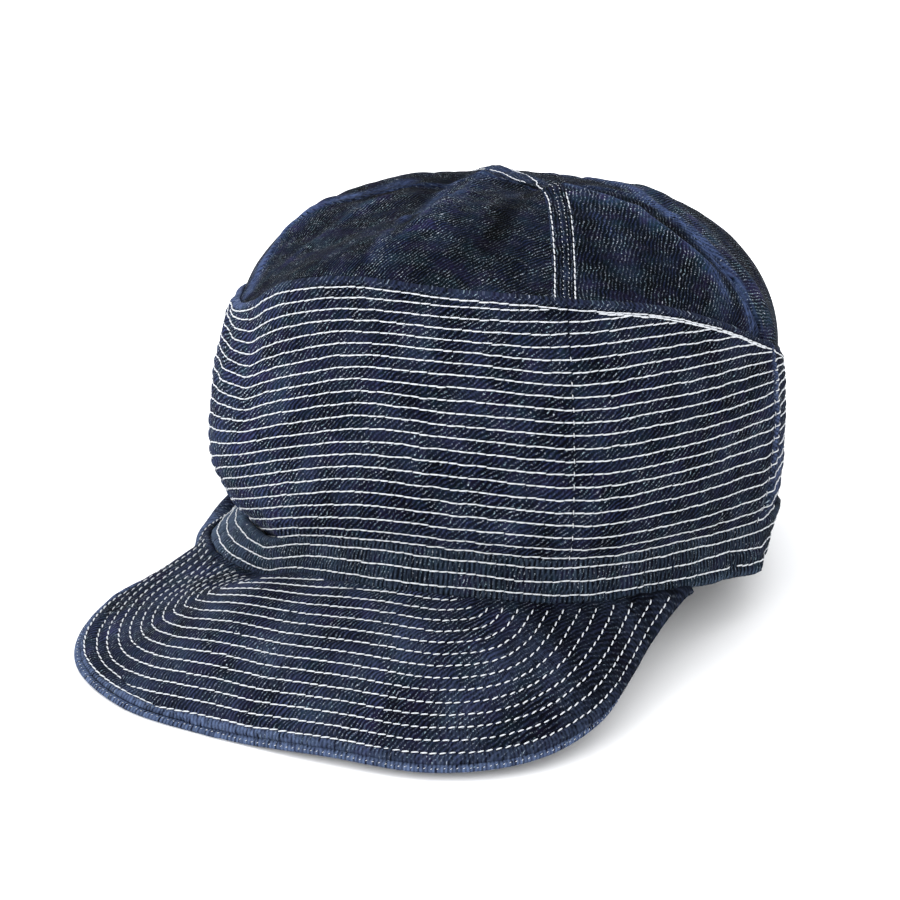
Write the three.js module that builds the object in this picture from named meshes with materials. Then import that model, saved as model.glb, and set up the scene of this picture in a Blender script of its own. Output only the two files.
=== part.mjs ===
// Soft denim cap: four-panel crown, high stitched side band, bottom band and two-ply stitched visor.
// Sizes are in millimetres. +Z is up, the visor points toward -Y, and +X is the wearer's left.
// An angle of 0 is the front of the cap; angles grow toward the wearer's left.

import * as THREE from 'three';

// Oval of the cap on the outside of its bottom band.
const ovalHalfWidth = 94;
const ovalHalfDepth = 98;

// How the cap stands: the visor props its front up, and its left side is higher than its right.
const pitchDegrees = -6;
const rollDegrees = -5.5;
const standHeight = 13.1;

// Walls and heights.
const bottomBandHeight = 14;
const bottomBandWall = 2.6;
const sideBandWall = 2;
const crownWall = 1.8;
const visorPlyWall = 1.6;
const visorRoundedShare = 0.6;
const seamStripWall = 0.8;
const seamStripHalfWidth = 4.2;
const seamStripLift = 0.7;
const gap = 0.3;
const crownSeamGap = 0.7;
const crownTuck = 0.8;

// Seams between the panels of the side band, as angles.
const bandSeams = { front: 48, left: 101, back: 230, right: 320 };

// Outline of the side band from bottom to top: how far the cloth stands out of the oval.
const bandProfile = [
  { height: 0, out: 0 },
  { height: 14, out: -1 },
  { height: 20, out: 2 },
  { height: 40, out: 4.5 },
  { height: 62, out: 4.2 },
  { height: 85, out: 2 },
  { height: 110, out: 0 },
];

// Dents and sags of the band, read at three heights: out moves the cloth outward, lift moves it up.
const lowLevel = 7;
const middleLevel = 55;
const highLevel = 100;
const bandSections = [
  { angle: -115, lowOut: 0, middleOut: 0, highOut: 0, lowLift: 0, middleLift: 0, highLift: 0 },
  { angle: -85, lowOut: 0, middleOut: 0, highOut: -3, lowLift: -4, middleLift: -3.5, highLift: -3 },
  { angle: -61, lowOut: 0, middleOut: 0, highOut: -6, lowLift: -7.5, middleLift: -9, highLift: -7.5 },
  { angle: -47, lowOut: 1.5, middleOut: 3, highOut: -5, lowLift: -6.5, middleLift: -12.5, highLift: -9.5 },
  { angle: -33, lowOut: -1, middleOut: 5, highOut: 1, lowLift: -2.5, middleLift: -4.5, highLift: -9.5 },
  { angle: -15, lowOut: -4.5, middleOut: -4, highOut: -1.5, lowLift: 7, middleLift: 6, highLift: 4 },
  { angle: 5, lowOut: -3, middleOut: -6, highOut: -2.5, lowLift: 12.5, middleLift: 15, highLift: 12 },
  { angle: 27, lowOut: -2, middleOut: -1, highOut: -2, lowLift: 12.5, middleLift: 16.5, highLift: 11.5 },
  { angle: 50, lowOut: -1, middleOut: 1, highOut: -2, lowLift: 8.5, middleLift: 12, highLift: 9 },
  { angle: 70, lowOut: -3.5, middleOut: -2.5, highOut: -3, lowLift: 6, middleLift: 10, highLift: 8 },
  { angle: 90, lowOut: -3.5, middleOut: -2.5, highOut: -2, lowLift: 1.8, middleLift: 8, highLift: 1 },
  { angle: 105, lowOut: 1.5, middleOut: 0, highOut: 0, lowLift: -2.8, middleLift: 5, highLift: -7.5 },
  { angle: 120, lowOut: 0.8, middleOut: -2.5, highOut: 0, lowLift: -5.1, middleLift: -4.5, highLift: -6.5 },
  { angle: 140, lowOut: 0.5, middleOut: -0.5, highOut: 0, lowLift: -8.2, middleLift: -3, highLift: -2 },
  { angle: 175, lowOut: 0, middleOut: 0, highOut: 0, lowLift: -4, middleLift: -1, highLift: 0 },
  { angle: 210, lowOut: 0, middleOut: 0, highOut: 0, lowLift: 0, middleLift: 0, highLift: 0 },
];

// How the bottom band flares or turns in: its lower edge, its top edge and its lift, and how far
// the side band above it is drawn in.
const bandFlare = [
  { angle: -100, edgeOut: 0, topOut: 0, lift: 0, drawnIn: 0 },
  { angle: -92, edgeOut: 5, topOut: 0, lift: 0, drawnIn: 1 },
  { angle: -85, edgeOut: 9, topOut: 0, lift: 0.5, drawnIn: 3.5 },
  { angle: -74, edgeOut: 12, topOut: -1, lift: 2.5, drawnIn: 6.5 },
  { angle: -66, edgeOut: 12, topOut: -2, lift: 4, drawnIn: 9 },
  { angle: -58, edgeOut: 11, topOut: -2.5, lift: 6.5, drawnIn: 11 },
  { angle: -50, edgeOut: 9, topOut: -2.5, lift: 7, drawnIn: 11 },
  { angle: -42, edgeOut: 7.5, topOut: -2.5, lift: 5.5, drawnIn: 11 },
  { angle: -34, edgeOut: 4.5, topOut: -2, lift: 3, drawnIn: 8.5 },
  { angle: -27, edgeOut: 1, topOut: -0.5, lift: 0.2, drawnIn: 4.5 },
  { angle: -20, edgeOut: 0, topOut: 0, lift: 0, drawnIn: 0 },
  { angle: 95, edgeOut: 0, topOut: 0, lift: 0, drawnIn: 0 },
  { angle: 101, edgeOut: 0, topOut: 0, lift: 0, drawnIn: 0 },
  { angle: 106, edgeOut: -3.2, topOut: 1.2, lift: 0, drawnIn: 0 },
  { angle: 112, edgeOut: -4.4, topOut: 2, lift: 0, drawnIn: 0 },
  { angle: 125, edgeOut: -6.7, topOut: 3.2, lift: 0, drawnIn: 0 },
  { angle: 145, edgeOut: -3, topOut: 0, lift: 0, drawnIn: 0 },
  { angle: 160, edgeOut: 0, topOut: 0, lift: 0, drawnIn: 0 },
];
const drawnInShares = [
  { height: 14, share: 1 },
  { height: 18, share: 0.95 },
  { height: 22, share: 0.85 },
  { height: 26, share: 0.66 },
  { height: 30.5, share: 0.52 },
  { height: 39, share: 0.29 },
  { height: 48, share: 0.08 },
  { height: 55, share: 0 },
];

// Upright kinks of the side band, where its rows turn upward.
const rightKink = [
  { angle: -100, lift: 0 },
  { angle: -80, lift: 3 },
  { angle: -60, lift: 7 },
  { angle: -47, lift: 9 },
  { angle: -40, lift: 8.5 },
  { angle: -35, lift: 6.3 },
  { angle: -31, lift: 3.2 },
  { angle: -28, lift: 1 },
  { angle: -24, lift: -1.3 },
  { angle: -20, lift: -0.6 },
  { angle: -14, lift: 0 },
];
const rightKinkHeights = { start: 44, full: 74, easing: 90, eased: 106, easedBy: 0.6 };
const leftKink = [
  { angle: 96, lift: 0 },
  { angle: 99, lift: 0 },
  { angle: 102, lift: 1.5 },
  { angle: 105, lift: 3.5 },
  { angle: 110, lift: 6 },
  { angle: 120, lift: 7.5 },
  { angle: 135, lift: 5 },
  { angle: 160, lift: 0 },
];
const leftKinkHeights = { start: 12, full: 24, fading: 52, gone: 74, lowShare: 0.17 };

// The bottom band's lower edge turns up where the band bends round at the left.
const cornerLift = [
  { angle: 86, lift: 0 },
  { angle: 98, lift: 1.6 },
  { angle: 110, lift: 2.2 },
  { angle: 128, lift: 0 },
];

// Height of the side band's top edge: high at the front, low at the back.
const bandTops = [
  { angle: -180, height: 60 },
  { angle: -135, height: 62 },
  { angle: -100, height: 78 },
  { angle: -70, height: 88 },
  { angle: -45, height: 97 },
  { angle: -34, height: 104 },
  { angle: -20, height: 106 },
  { angle: 0, height: 106 },
  { angle: 22, height: 105 },
  { angle: 45, height: 103 },
  { angle: 65, height: 97 },
  { angle: 85, height: 88 },
  { angle: 100, height: 78 },
  { angle: 120, height: 66 },
  { angle: 145, height: 60 },
];

// Crown: the point where the seams meet, and how each side of the crown bows up to it.
// lean and rise steer the cloth where it leaves the band, spread and crest where it nears the middle.
const crownMiddle = { x: 14, y: 4, z: 126 };
const crownSections = [
  { angle: -180, lean: 0, rise: 29, spread: 57, crest: -1 },
  { angle: -135, lean: -4, rise: 20, spread: 71, crest: 5 },
  { angle: -90, lean: -13, rise: 41, spread: 57, crest: 4 },
  { angle: -62, lean: -5, rise: 26, spread: 51.5, crest: 5 },
  { angle: -40, lean: -11, rise: 15, spread: 44, crest: 6 },
  { angle: 0, lean: -12, rise: 12, spread: 40, crest: 7 },
  { angle: 50, lean: -21, rise: 3, spread: 33, crest: 11 },
  { angle: 90, lean: 2, rise: 16, spread: 37, crest: 7 },
  { angle: 140, lean: 6.5, rise: 39, spread: 44, crest: 2 },
];

// Soft folds of the crown, seen from above: a line from start to end, its half width and its height.
const crownFolds = [
  { startX: -10, startY: 4, endX: 11, endY: -58, halfWidth: 7, height: 2 },
  { startX: -20, startY: 0, endX: 0, endY: -60, halfWidth: 6, height: -1.6 },
  { startX: -50, startY: -17, endX: -24, endY: -6, halfWidth: 9, height: -2.4 },
  { startX: -64, startY: -53, endX: -62, endY: -19, halfWidth: 7, height: 1.8 },
  { startX: 29, startY: -3, endX: 80, endY: 3, halfWidth: 6, height: 2 },
  { startX: 36, startY: 8, endX: 78, endY: 11, halfWidth: 6, height: -2 },
  { startX: 24, startY: 40, endX: 88, endY: 24, halfWidth: 8, height: 2 },
  { startX: -8, startY: 40, endX: -20, endY: 84, halfWidth: 8, height: -1.8 },
];

// Seams between the crown's panels, followed from the band (along 0) to the middle (along 1).
const crownSeams = {
  front: [{ along: 0, angle: 48 }, { along: 0.3, angle: 50 }, { along: 1, angle: 50 }],
  left: [
    { along: 0, angle: 101 },
    { along: 0.25, angle: 98 },
    { along: 0.5, angle: 104 },
    { along: 0.75, angle: 122 },
    { along: 1, angle: 135 },
  ],
  back: [
    { along: 0, angle: 232.8 },
    { along: 0.5, angle: 234.4 },
    { along: 0.7, angle: 237.5 },
    { along: 0.86, angle: 243 },
    { along: 1, angle: 248 },
  ],
  right: [
    { along: 0, angle: 320 },
    { along: 0.2, angle: 310 },
    { along: 0.4, angle: 295 },
    { along: 0.7, angle: 284 },
    { along: 1, angle: 280 },
  ],
};

// Visor edge seen from above: distance from the cap's middle, height over the floor and bulge
// of the cloth between the band and the edge.
const visorSections = [
  { angle: -97, reach: 94, height: 3, bulge: 0 },
  { angle: -90, reach: 98, height: 6, bulge: 0 },
  { angle: -80, reach: 105.5, height: 8, bulge: 0 },
  { angle: -71, reach: 109.5, height: 6, bulge: 0 },
  { angle: -63, reach: 111.5, height: 4, bulge: 0 },
  { angle: -53, reach: 114, height: 1, bulge: 0.5 },
  { angle: -42, reach: 144, height: -3, bulge: 3.5 },
  { angle: -30, reach: 162, height: -4, bulge: 8 },
  { angle: -18, reach: 162.5, height: -3, bulge: 7 },
  { angle: -5, reach: 152.5, height: 0.5, bulge: 6.5 },
  { angle: 10, reach: 146.5, height: 4, bulge: 5 },
  { angle: 25, reach: 145, height: 4, bulge: 5 },
  { angle: 38, reach: 138.5, height: 6, bulge: 5 },
  { angle: 48, reach: 126, height: 10, bulge: 5 },
  { angle: 57, reach: 107.5, height: 15, bulge: 4 },
  { angle: 64, reach: 98, height: 20, bulge: 3 },
  { angle: 72, reach: 92, height: 24, bulge: 1 },
  { angle: 80, reach: 88.5, height: 26, bulge: 0 },
];

// Waves of the visor: each runs from an angle at the band to an angle at the edge.
const visorWaves = [
  { bandAngle: -42, edgeAngle: -24, halfWidth: 9, height: -4 },
  { bandAngle: -22, edgeAngle: -8, halfWidth: 10, height: 2.5 },
  { bandAngle: 44, edgeAngle: 30, halfWidth: 10, height: -1.5 },
];

// Mesh steps.
const bandStepDegrees = 5;
const bandRows = 6;
const bottomBandSteps = 80;
const bottomBandRows = 2;
const crownStepDegrees = 6;
const crownStations = [0, 0.06, 0.13, 0.22, 0.33, 0.45, 0.58, 0.72, 0.85, 0.93, 0.975];
// Where the crown's cloth is free of the band, and how close to the middle its direction is measured.
const crownFree = 0.3;
const nearestDirection = 0.985;
// The seam strip crosses the middle on these stations, past poleBlend of each seam; behind the
// middle it runs on a little to the side.
const poleBlend = 0.86;
const poleStations = [
  { ahead: 9, aside: 0 },
  { ahead: 4.5, aside: 0 },
  { ahead: 0.5, aside: -1.6 },
  { ahead: -4, aside: -3.7 },
  { ahead: -9, aside: -4.6 },
  { ahead: -16, aside: -4.6 },
];
const halvings = 30;
const visorSteps = 44;
// The top ply stops one station short, so the under ply shows as a narrow lip.
const visorStations = [0, 0.2, 0.4, 0.6, 0.78, 0.9, 0.97, 1];

const colours = {
  crown: 0x262e42,
  band: 0x2e3449,
  bottomBand: 0x2f364b,
  visor: 0x383f55,
  visorUnder: 0x343b50,
  seam: 0x343d54,
};
const clothRoughness = 0.92;

// Smooth curve through a table; the slope at a row follows its two neighbours.
function curveThrough(keys, values, at) {
  let i = 1;
  while (i < keys.length - 3 && at >= keys[i + 1]) {
    i += 1;
  }
  const span = keys[i + 1] - keys[i];
  const s = (at - keys[i]) / span;
  const slopeBefore = (values[i + 1] - values[i - 1]) / (keys[i + 1] - keys[i - 1]) * span;
  const slopeAfter = (values[i + 2] - values[i]) / (keys[i + 2] - keys[i]) * span;
  const s2 = s * s;
  const s3 = s2 * s;
  return (2 * s3 - 3 * s2 + 1) * values[i] + (s3 - 2 * s2 + s) * slopeBefore
    + (3 * s2 - 2 * s3) * values[i + 1] + (s3 - s2) * slopeAfter;
}

// Value of a column of a table that goes all the way around the cap.
function aroundTable(rows, column, angle) {
  const first = rows[0];
  const second = rows[1];
  const last = rows[rows.length - 1];
  const keys = [last.angle - 360, ...rows.map((row) => row.angle), first.angle + 360, second.angle + 360];
  const values = [last[column], ...rows.map((row) => row[column]), first[column], second[column]];
  const turned = THREE.MathUtils.euclideanModulo(angle - first.angle, 360) + first.angle;
  return curveThrough(keys, values, turned);
}

// Value of a column of a table with two ends.
function alongTable(rows, keyColumn, column, at) {
  const found = rows.map((row) => row[keyColumn]);
  const values = rows.map((row) => row[column]);
  const n = rows.length;
  const keys = [2 * found[0] - found[1], ...found, 2 * found[n - 1] - found[n - 2]];
  const padded = [2 * values[0] - values[1], ...values, 2 * values[n - 1] - values[n - 2]];
  return curveThrough(keys, padded, THREE.MathUtils.clamp(at, found[0], found[n - 1]));
}

// Weighs the three levels of the band so that a value changes smoothly with the height.
function atHeight(angle, height, quantity) {
  const levels = [lowLevel, middleLevel, highLevel];
  const columns = ['low' + quantity, 'middle' + quantity, 'high' + quantity];
  let total = 0;
  for (let i = 0; i < levels.length; i += 1) {
    let weight = 1;
    for (let j = 0; j < levels.length; j += 1) {
      if (j !== i) {
        weight *= (height - levels[j]) / (levels[i] - levels[j]);
      }
    }
    total += weight * aroundTable(bandSections, columns[i], angle);
  }
  return total;
}

// Outward direction of the oval at an angle.
function ovalNormal(angle) {
  const a = THREE.MathUtils.degToRad(angle);
  const x = ovalHalfDepth * Math.sin(a);
  const y = -ovalHalfWidth * Math.cos(a);
  return new THREE.Vector3(x, y, 0).normalize();
}

// Lift of the kink at the left, which runs through both bands.
function leftLift(angle, height) {
  const { start, full, fading, gone, lowShare } = leftKinkHeights;
  const rising = lowShare + (1 - lowShare) * THREE.MathUtils.smoothstep(height, start, full);
  const remaining = 1 - THREE.MathUtils.smoothstep(height, fading, gone);
  return alongTable(leftKink, 'angle', 'lift', angle) * rising * remaining;
}

// How the bottom band flares at a place: outward and up.
function bottomBandShape(angle, height) {
  const share = height / bottomBandHeight;
  const edgeOut = alongTable(bandFlare, 'angle', 'edgeOut', angle);
  const topOut = alongTable(bandFlare, 'angle', 'topOut', angle);
  const turnedUp = alongTable(cornerLift, 'angle', 'lift', angle) * (1 - share);
  const lift = alongTable(bandFlare, 'angle', 'lift', angle) + leftLift(angle, height) + turnedUp;
  return { out: edgeOut + (topOut - edgeOut) * share, lift };
}

// How the side band is drawn in above the bottom band, and lifted by its kinks.
function sideBandShape(angle, height) {
  const drawnIn = alongTable(bandFlare, 'angle', 'drawnIn', angle);
  const out = -drawnIn * alongTable(drawnInShares, 'height', 'share', height);
  const rightShare = THREE.MathUtils.smoothstep(height, rightKinkHeights.start, rightKinkHeights.full);
  const eased = THREE.MathUtils.smoothstep(height, rightKinkHeights.easing, rightKinkHeights.eased);
  const rightLift = alongTable(rightKink, 'angle', 'lift', angle);
  const right = rightLift * rightShare * (1 - rightKinkHeights.easedBy * eased);
  return { out, lift: right + leftLift(angle, height) };
}

// Point of the band's outer face in the cap's own upright frame; outward moves it off that face.
function bandPoint(angle, height, outward) {
  const a = THREE.MathUtils.degToRad(angle);
  const turned = THREE.MathUtils.euclideanModulo(angle + 180, 360) - 180;
  const shape = height > bottomBandHeight ? sideBandShape(turned, height) : bottomBandShape(turned, height);
  const profileOut = alongTable(bandProfile, 'height', 'out', height) + atHeight(angle, height, 'Out');
  const oval = new THREE.Vector3(ovalHalfWidth * Math.sin(a), -ovalHalfDepth * Math.cos(a), 0);
  const point = oval.addScaledVector(ovalNormal(angle), profileOut + shape.out + outward);
  point.z = height + atHeight(angle, height, 'Lift') + shape.lift;
  return point;
}

function bandTop(angle) {
  return aroundTable(bandTops, 'height', angle);
}

// Height that the soft folds add to the crown at a place seen from above.
function foldHeight(x, y) {
  let total = 0;
  for (const fold of crownFolds) {
    const start = new THREE.Vector2(fold.startX, fold.startY);
    const run = new THREE.Vector2(fold.endX, fold.endY).sub(start);
    const toPlace = new THREE.Vector2(x, y).sub(start);
    const along = THREE.MathUtils.clamp(toPlace.dot(run) / run.lengthSq(), 0, 1);
    const away = toPlace.addScaledVector(run, -along).length() / fold.halfWidth;
    total += fold.height * Math.exp(-away * away);
  }
  return total;
}

// Point of the crown's outer face: a curve from inside the band's top edge to the crown's middle.
function crownPoint(angle, along) {
  const a = THREE.MathUtils.degToRad(angle);
  const lean = aroundTable(crownSections, 'lean', angle);
  const rise = aroundTable(crownSections, 'rise', angle);
  const spread = aroundTable(crownSections, 'spread', angle);
  const crest = aroundTable(crownSections, 'crest', angle);
  const start = bandPoint(angle, bandTop(angle) - crownTuck, -sideBandWall - gap);
  const middle = new THREE.Vector3(crownMiddle.x, crownMiddle.y, crownMiddle.z);
  const first = start.clone().addScaledVector(ovalNormal(angle), lean);
  first.z += rise;
  const second = middle.clone().add(new THREE.Vector3(Math.sin(a) * spread, -Math.cos(a) * spread, crest));
  const curve = new THREE.CubicBezierCurve3(start, first, second, middle);
  const point = curve.getPoint(along);
  const free = Math.min(1, along / crownFree);
  point.z += foldHeight(point.x, point.y) * free * free;
  return point;
}

// Outward direction of the crown's cloth, measured over a small step.
function crownNormal(angle, along) {
  const step = 0.5;
  const alongStep = 0.004;
  const back = Math.max(0, along - alongStep);
  const ahead = Math.min(0.998, along + alongStep);
  const across = crownPoint(angle + step, along).sub(crownPoint(angle - step, along));
  const inward = crownPoint(angle, ahead).sub(crownPoint(angle, back));
  return across.cross(inward).normalize();
}

// Turns a point of the upright cap into the way the cap stands on the floor.
function stand(point) {
  const placed = point.clone();
  placed.applyAxisAngle(new THREE.Vector3(1, 0, 0), THREE.MathUtils.degToRad(pitchDegrees));
  placed.applyAxisAngle(new THREE.Vector3(0, 1, 0), THREE.MathUtils.degToRad(rollDegrees));
  placed.z += standHeight;
  return placed;
}

// Cloth that would reach below the floor lies flat on it.
function onFloor(point) {
  point.z = Math.max(0, point.z);
  return point;
}

// Middle face between the visor's two plies, from the band (along 0) to the edge (along 1).
function visorPoint(angle, along) {
  const a = THREE.MathUtils.degToRad(angle);
  const half = gap / 2 + visorPlyWall;
  const inner = stand(bandPoint(angle, 0, gap));
  inner.z = Math.max(inner.z - half / 2, half);
  const innerReach = Math.hypot(inner.x, inner.y);
  const reach = Math.max(alongTable(visorSections, 'angle', 'reach', angle), innerReach + 1);
  const height = alongTable(visorSections, 'angle', 'height', angle);
  const edge = new THREE.Vector3(Math.sin(a) * reach, -Math.cos(a) * reach, height);
  const point = inner.lerp(edge, along);
  const between = 4 * along * (1 - along);
  point.z += alongTable(visorSections, 'angle', 'bulge', angle) * between;
  for (const wave of visorWaves) {
    const away = (angle - wave.bandAngle - (wave.edgeAngle - wave.bandAngle) * along) / wave.halfWidth;
    point.z += wave.height * Math.exp(-away * away) * between;
  }
  point.z = Math.max(point.z, half);
  return point;
}

// Closed cloth solid from two equal grids of points, its front face and its back face.
function clothSolid(front, back, closedAround) {
  const columns = front.length;
  const rows = front[0].length;
  const positions = [];
  for (const grid of [front, back]) {
    for (const column of grid) {
      for (const point of column) {
        positions.push(point.x, point.y, point.z);
      }
    }
  }
  const index = [];
  const frontAt = (i, j) => (i % columns) * rows + j;
  const backAt = (i, j) => columns * rows + (i % columns) * rows + j;
  const quad = (a, b, c, d) => {
    index.push(a, b, c, a, c, d);
  };
  const spans = closedAround ? columns : columns - 1;
  for (let i = 0; i < spans; i += 1) {
    for (let j = 0; j < rows - 1; j += 1) {
      quad(frontAt(i, j), frontAt(i + 1, j), frontAt(i + 1, j + 1), frontAt(i, j + 1));
      quad(backAt(i, j), backAt(i, j + 1), backAt(i + 1, j + 1), backAt(i + 1, j));
    }
    quad(frontAt(i + 1, 0), frontAt(i, 0), backAt(i, 0), backAt(i + 1, 0));
    quad(frontAt(i, rows - 1), frontAt(i + 1, rows - 1), backAt(i + 1, rows - 1), backAt(i, rows - 1));
  }
  if (!closedAround) {
    for (let j = 0; j < rows - 1; j += 1) {
      quad(frontAt(0, j), frontAt(0, j + 1), backAt(0, j + 1), backAt(0, j));
      quad(frontAt(spans, j + 1), frontAt(spans, j), backAt(spans, j), backAt(spans, j + 1));
    }
  }
  const geometry = new THREE.BufferGeometry();
  geometry.setAttribute('position', new THREE.Float32BufferAttribute(positions, 3));
  geometry.setIndex(index);
  geometry.computeVertexNormals();
  return geometry;
}

function clothMesh(name, geometry, colour) {
  const material = new THREE.MeshStandardMaterial({ color: colour, roughness: clothRoughness, metalness: 0 });
  const mesh = new THREE.Mesh(geometry, material);
  mesh.name = name;
  return mesh;
}

// Fills a grid column by column from a function of the column and row number.
function grid(columns, rows, pointAt) {
  const made = [];
  for (let i = 0; i < columns; i += 1) {
    const column = [];
    for (let j = 0; j < rows; j += 1) {
      column.push(pointAt(i, j));
    }
    made.push(column);
  }
  return made;
}

// Angle that half a gap takes up on a ring of the given radius.
function halfGapAngle(radius) {
  return THREE.MathUtils.radToDeg(gap / 2 / radius);
}

function bottomBand() {
  const angleAt = (i) => i * 360 / bottomBandSteps;
  const heightAt = (j) => j * bottomBandHeight / bottomBandRows;
  const rows = bottomBandRows + 1;
  const outer = grid(bottomBandSteps, rows, (i, j) => onFloor(stand(bandPoint(angleAt(i), heightAt(j), 0))));
  const inner = grid(bottomBandSteps, rows, (i, j) => {
    return onFloor(stand(bandPoint(angleAt(i), heightAt(j), -bottomBandWall)));
  });
  return clothMesh('bottom_band', clothSolid(outer, inner, true), colours.bottomBand);
}

// One panel of the side band, between two of its seams.
function bandPanel(name, fromSeam, toSeam) {
  const inset = halfGapAngle(ovalHalfWidth);
  const from = fromSeam + inset;
  const to = (toSeam > fromSeam ? toSeam : toSeam + 360) - inset;
  const steps = Math.round((to - from) / bandStepDegrees);
  const low = bottomBandHeight + gap;
  const place = (i, j, outward) => {
    const angle = from + (to - from) * i / steps;
    const height = low + (bandTop(angle) - low) * j / bandRows;
    return stand(bandPoint(angle, height, outward));
  };
  const outer = grid(steps + 1, bandRows + 1, (i, j) => place(i, j, 0));
  const inner = grid(steps + 1, bandRows + 1, (i, j) => place(i, j, -sideBandWall));
  return clothMesh(name, clothSolid(outer, inner, false), colours.band);
}

function seamAngle(seam, along) {
  return alongTable(seam, 'along', 'angle', along);
}

// Distance that one degree covers on the crown at a place.
function crownDegree(angle, along) {
  return crownPoint(angle + 0.5, along).distanceTo(crownPoint(angle - 0.5, along));
}

// One panel of the crown, between two of its seams.
function crownPanel(name, fromSeam, toSeam) {
  const wide = seamAngle(toSeam, 0) - seamAngle(fromSeam, 0);
  const steps = Math.round(THREE.MathUtils.euclideanModulo(wide, 360) / crownStepDegrees);
  const place = (i, j, inward) => {
    const along = crownStations[j];
    const start = seamAngle(fromSeam, along);
    const across = THREE.MathUtils.euclideanModulo(seamAngle(toSeam, along) - start, 360);
    const inset = crownSeamGap / 2 / crownDegree(start, along);
    const angle = start + inset + (across - 2 * inset) * i / steps;
    const point = crownPoint(angle, along);
    return stand(point.addScaledVector(crownNormal(angle, along), -inward));
  };
  const rows = crownStations.length;
  const outer = grid(steps + 1, rows, (i, j) => place(i, j, 0));
  const inner = grid(steps + 1, rows, (i, j) => place(i, j, crownWall));
  return clothMesh(name, clothSolid(outer, inner, false), colours.crown);
}

// Place on the crown near its middle, found from its distance and direction seen from above.
function crownNearMiddle(x, y) {
  const angle = THREE.MathUtils.radToDeg(Math.atan2(x, -y));
  const wanted = Math.hypot(x, y);
  let low = 0.5;
  let high = 1;
  for (let i = 0; i < halvings; i += 1) {
    const tried = (low + high) / 2;
    const point = crownPoint(angle, tried);
    const found = Math.hypot(point.x - crownMiddle.x, point.y - crownMiddle.y);
    if (found > wanted) {
      low = tried;
    } else {
      high = tried;
    }
  }
  return { angle, along: low };
}

// The stitched strip over the long seam, from the front over the crown's middle to the back.
function seamStrip() {
  const stations = [];
  const outer = crownStations.filter((along) => along > 0 && along <= poleBlend);
  for (const along of outer) {
    stations.push({ seam: crownSeams.front, along, side: 1 });
  }
  stations.push(...poleStations);
  for (const along of outer.slice().reverse()) {
    stations.push({ seam: crownSeams.back, along, side: -1 });
  }
  const direction = THREE.MathUtils.degToRad(seamAngle(crownSeams.front, 1));
  const ahead = new THREE.Vector2(Math.sin(direction), -Math.cos(direction));
  const place = (i, j, lift) => {
    const station = stations[i];
    const offset = (j - 1) * seamStripHalfWidth;
    let spot;
    if (station.ahead === undefined) {
      const centre = seamAngle(station.seam, station.along);
      const turn = offset / crownDegree(centre, station.along) * station.side;
      spot = { angle: centre + turn, along: station.along };
    } else {
      const aside = station.aside + offset;
      const x = ahead.x * station.ahead - ahead.y * aside;
      const y = ahead.y * station.ahead + ahead.x * aside;
      spot = crownNearMiddle(x, y);
    }
    const point = crownPoint(spot.angle, spot.along);
    const up = crownNormal(spot.angle, Math.min(spot.along, nearestDirection));
    return stand(point.addScaledVector(up, lift));
  };
  const low = seamStripLift;
  const upper = grid(stations.length, 3, (i, j) => place(i, 2 - j, low + seamStripWall));
  const lower = grid(stations.length, 3, (i, j) => place(i, 2 - j, low));
  return clothMesh('crown_seam_strip', clothSolid(upper, lower, false), colours.seam);
}

// One ply of the visor between two offsets from the visor's middle face, rounded off at its edge.
function visorPly(name, lowOffset, highOffset, stations, colour) {
  const first = visorSections[0].angle;
  const last = visorSections[visorSections.length - 1].angle;
  const rows = stations.length;
  const place = (i, j, offset) => {
    const point = visorPoint(first + (last - first) * i / visorSteps, stations[j]);
    const atEdge = j === rows - 1;
    const rounded = atEdge && offset === highOffset;
    point.z += rounded ? lowOffset + (highOffset - lowOffset) * visorRoundedShare : offset;
    return point;
  };
  const flip = rows - 1;
  const upper = grid(visorSteps + 1, rows, (i, j) => place(i, flip - j, highOffset));
  const lower = grid(visorSteps + 1, rows, (i, j) => place(i, flip - j, lowOffset));
  return clothMesh(name, clothSolid(upper, lower, false), colour);
}

// Moves every piece so that the middle of the cap's box stands over the origin.
function centre(group) {
  const box = new THREE.Box3().setFromObject(group);
  const middle = box.getCenter(new THREE.Vector3());
  for (const mesh of group.children) {
    mesh.geometry.translate(-middle.x, -middle.y, -box.min.z);
  }
}

const cap = new THREE.Group();
cap.name = 'denim_cap';
cap.add(bottomBand());
cap.add(bandPanel('band_panel_front', bandSeams.right - 360, bandSeams.front));
cap.add(bandPanel('band_panel_left', bandSeams.front, bandSeams.left));
cap.add(bandPanel('band_panel_back', bandSeams.left, bandSeams.back));
cap.add(bandPanel('band_panel_right', bandSeams.back, bandSeams.right));
cap.add(crownPanel('crown_panel_front', crownSeams.right, crownSeams.front));
cap.add(crownPanel('crown_panel_left', crownSeams.front, crownSeams.left));
cap.add(crownPanel('crown_panel_back', crownSeams.left, crownSeams.back));
cap.add(crownPanel('crown_panel_right', crownSeams.back, crownSeams.right));
cap.add(seamStrip());
const topStations = visorStations.slice(0, -1);
cap.add(visorPly('visor_top', gap / 2, gap / 2 + visorPlyWall, topStations, colours.visor));
cap.add(visorPly('visor_under', -gap / 2 - visorPlyWall, -gap / 2, visorStations, colours.visorUnder));
centre(cap);

export default cap;
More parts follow.
